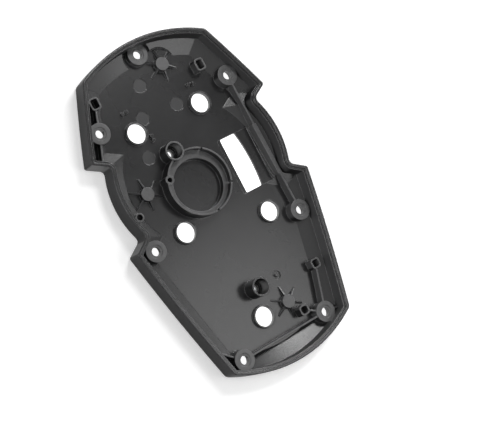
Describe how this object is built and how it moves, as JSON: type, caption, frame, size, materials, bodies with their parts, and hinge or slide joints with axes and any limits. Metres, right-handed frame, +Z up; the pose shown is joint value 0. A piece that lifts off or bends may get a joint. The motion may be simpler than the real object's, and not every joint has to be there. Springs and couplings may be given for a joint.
{
  "type": "instrument cluster frame",
  "caption": "Moulded black plastic tray that holds an instrument cluster, with screw bosses, a dial ring, lamp holes, a display window and stiffening ribs.",
  "frame": {"origin": "middle of the length and width, on the flat back the frame lies on", "axes": "+Y towards the wider head end, +X to the side with the display window, +Z up out of the open side"},
  "size_m": [0.1186, 0.2, 0.014],
  "materials": {
    "plastic": "satin, finely grained"
  },
  "bodies": {
    "root": {"frame": "plastic"}
  },
  "joints": []
}
